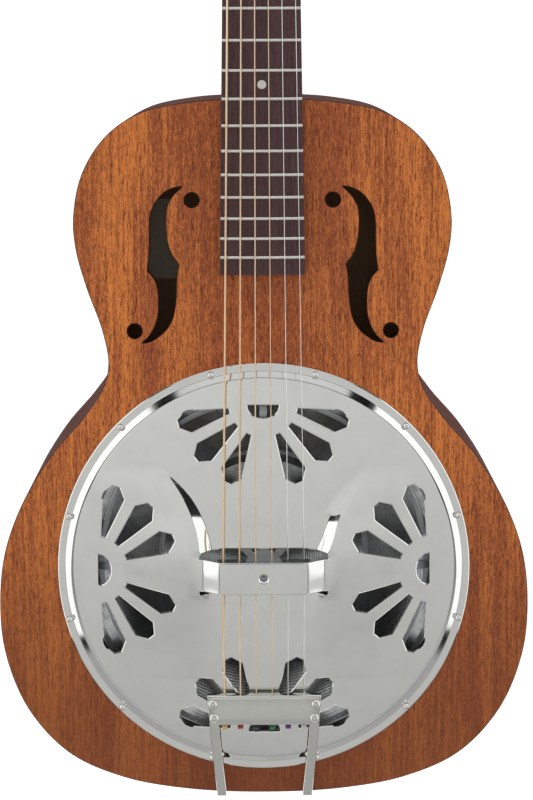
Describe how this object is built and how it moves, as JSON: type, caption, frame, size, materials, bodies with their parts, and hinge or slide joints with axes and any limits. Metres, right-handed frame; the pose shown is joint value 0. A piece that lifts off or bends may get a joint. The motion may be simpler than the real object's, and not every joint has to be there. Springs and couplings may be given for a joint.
{
  "type": "resonator guitar",
  "caption": "Round-neck resonator guitar lying on its back: waisted wooden body with f-holes, domed metal cover plate over a cone, trapeze tailpiece and geared tuners.",
  "frame": {"origin": "on the outer face of the back, straight under the middle of the saddle line, with the guitar lying flat on its back", "axes": "+Y along the strings to the headstock, +Z out of the top, +X to the treble side"},
  "size_m": [0.3584, 0.9899, 0.116],
  "materials": {
    "mahogany": "open-grain mahogany, satin",
    "dark_mahogany": "dark stained mahogany, satin",
    "plain_wood": "bare inner wood",
    "rosewood": "oiled rosewood",
    "maple": "bare maple",
    "nickel": "polished nickel plate",
    "aluminium": "spun and turned",
    "steel": "plain steel",
    "bronze": "phosphor bronze",
    "bone": "polished bone substitute",
    "black": "black plastic"
  },
  "bodies": {
    "guitar": {"top_board": "mahogany", "back_board": "mahogany", "side_rim": "dark_mahogany", "neck": "dark_mahogany", "soundwell_ring": "plain_wood", "neck_block": "plain_wood", "tail_block": "plain_wood", "back_brace_upper": "plain_wood", "back_brace_lower": "plain_wood", "top_brace": "plain_wood", "fretboard": "rosewood", "headstock_veneer": "rosewood", "saddle_bass": "maple", "saddle_treble": "maple", "cover_plate": "nickel", "tailpiece_plate": "nickel", "tailpiece_strap_bass": "nickel", "tailpiece_strap_treble": "nickel", "tail_bracket": "nickel", "end_pin": "nickel", "tuner_plate_bass": "nickel", "tuner_plate_treble": "nickel", "resonator_cone": "aluminium", "spider_bridge": "aluminium", "truss_rod": "steel", "tension_screw": "steel", "nut": "bone", "truss_rod_cover": "black", "string_1": "steel", "string_2": "steel", "string_3": "bronze", "string_4": "bronze", "string_5": "bronze", "string_6": "bronze"},
    "knob_6": {"tuner_worm_6": "nickel", "tuner_button_6": "nickel"},
    "post_6": {"tuner_post_6": "nickel", "tuner_gear_6": "bronze"},
    "knob_5": {"tuner_worm_5": "nickel", "tuner_button_5": "nickel"},
    "post_5": {"tuner_post_5": "nickel", "tuner_gear_5": "bronze"},
    "knob_4": {"tuner_worm_4": "nickel", "tuner_button_4": "nickel"},
    "post_4": {"tuner_post_4": "nickel", "tuner_gear_4": "bronze"},
    "knob_3": {"tuner_worm_3": "nickel", "tuner_button_3": "nickel"},
    "post_3": {"tuner_post_3": "nickel", "tuner_gear_3": "bronze"},
    "knob_2": {"tuner_worm_2": "nickel", "tuner_button_2": "nickel"},
    "post_2": {"tuner_post_2": "nickel", "tuner_gear_2": "bronze"},
    "knob_1": {"tuner_worm_1": "nickel", "tuner_button_1": "nickel"},
    "post_1": {"tuner_post_1": "nickel", "tuner_gear_1": "bronze"}
  },
  "joints": [
    {"name": "knob_6_turn", "type": "hinge", "parent": "guitar", "child": "knob_6", "pos_m": [-0.0235, 0.68726, 0.05225], "axis": [1, 0, 0], "continuous": true},
    {"name": "post_6_turn", "type": "hinge", "parent": "guitar", "child": "post_6", "pos_m": [-0.0235, 0.67829, 0.0547], "axis": [0, 0.2638, 0.9646], "continuous": true},
    {"name": "knob_5_turn", "type": "hinge", "parent": "guitar", "child": "knob_5", "pos_m": [-0.0245, 0.72584, 0.0417], "axis": [1, 0, 0], "continuous": true},
    {"name": "post_5_turn", "type": "hinge", "parent": "guitar", "child": "post_5", "pos_m": [-0.0245, 0.71687, 0.04415], "axis": [0, 0.2638, 0.9646], "continuous": true},
    {"name": "knob_4_turn", "type": "hinge", "parent": "guitar", "child": "knob_4", "pos_m": [-0.0255, 0.76442, 0.03114], "axis": [1, 0, 0], "continuous": true},
    {"name": "post_4_turn", "type": "hinge", "parent": "guitar", "child": "post_4", "pos_m": [-0.0255, 0.75545, 0.0336], "axis": [0, 0.2638, 0.9646], "continuous": true},
    {"name": "knob_3_turn", "type": "hinge", "parent": "guitar", "child": "knob_3", "pos_m": [0.0255, 0.76442, 0.03114], "axis": [1, 0, 0], "continuous": true},
    {"name": "post_3_turn", "type": "hinge", "parent": "guitar", "child": "post_3", "pos_m": [0.0255, 0.75545, 0.0336], "axis": [0, 0.2638, 0.9646], "continuous": true},
    {"name": "knob_2_turn", "type": "hinge", "parent": "guitar", "child": "knob_2", "pos_m": [0.0245, 0.72584, 0.0417], "axis": [1, 0, 0], "continuous": true},
    {"name": "post_2_turn", "type": "hinge", "parent": "guitar", "child": "post_2", "pos_m": [0.0245, 0.71687, 0.04415], "axis": [0, 0.2638, 0.9646], "continuous": true},
    {"name": "knob_1_turn", "type": "hinge", "parent": "guitar", "child": "knob_1", "pos_m": [0.0235, 0.68726, 0.05225], "axis": [1, 0, 0], "continuous": true},
    {"name": "post_1_turn", "type": "hinge", "parent": "guitar", "child": "post_1", "pos_m": [0.0235, 0.67829, 0.0547], "axis": [0, 0.2638, 0.9646], "continuous": true}
  ],
  "couplings": [
    {"joint": "post_6_turn", "follows": "knob_6_turn", "ratio": 0.071429},
    {"joint": "post_5_turn", "follows": "knob_5_turn", "ratio": 0.071429},
    {"joint": "post_4_turn", "follows": "knob_4_turn", "ratio": 0.071429},
    {"joint": "post_3_turn", "follows": "knob_3_turn", "ratio": 0.071429},
    {"joint": "post_2_turn", "follows": "knob_2_turn", "ratio": 0.071429},
    {"joint": "post_1_turn", "follows": "knob_1_turn", "ratio": 0.071429}
  ]
}
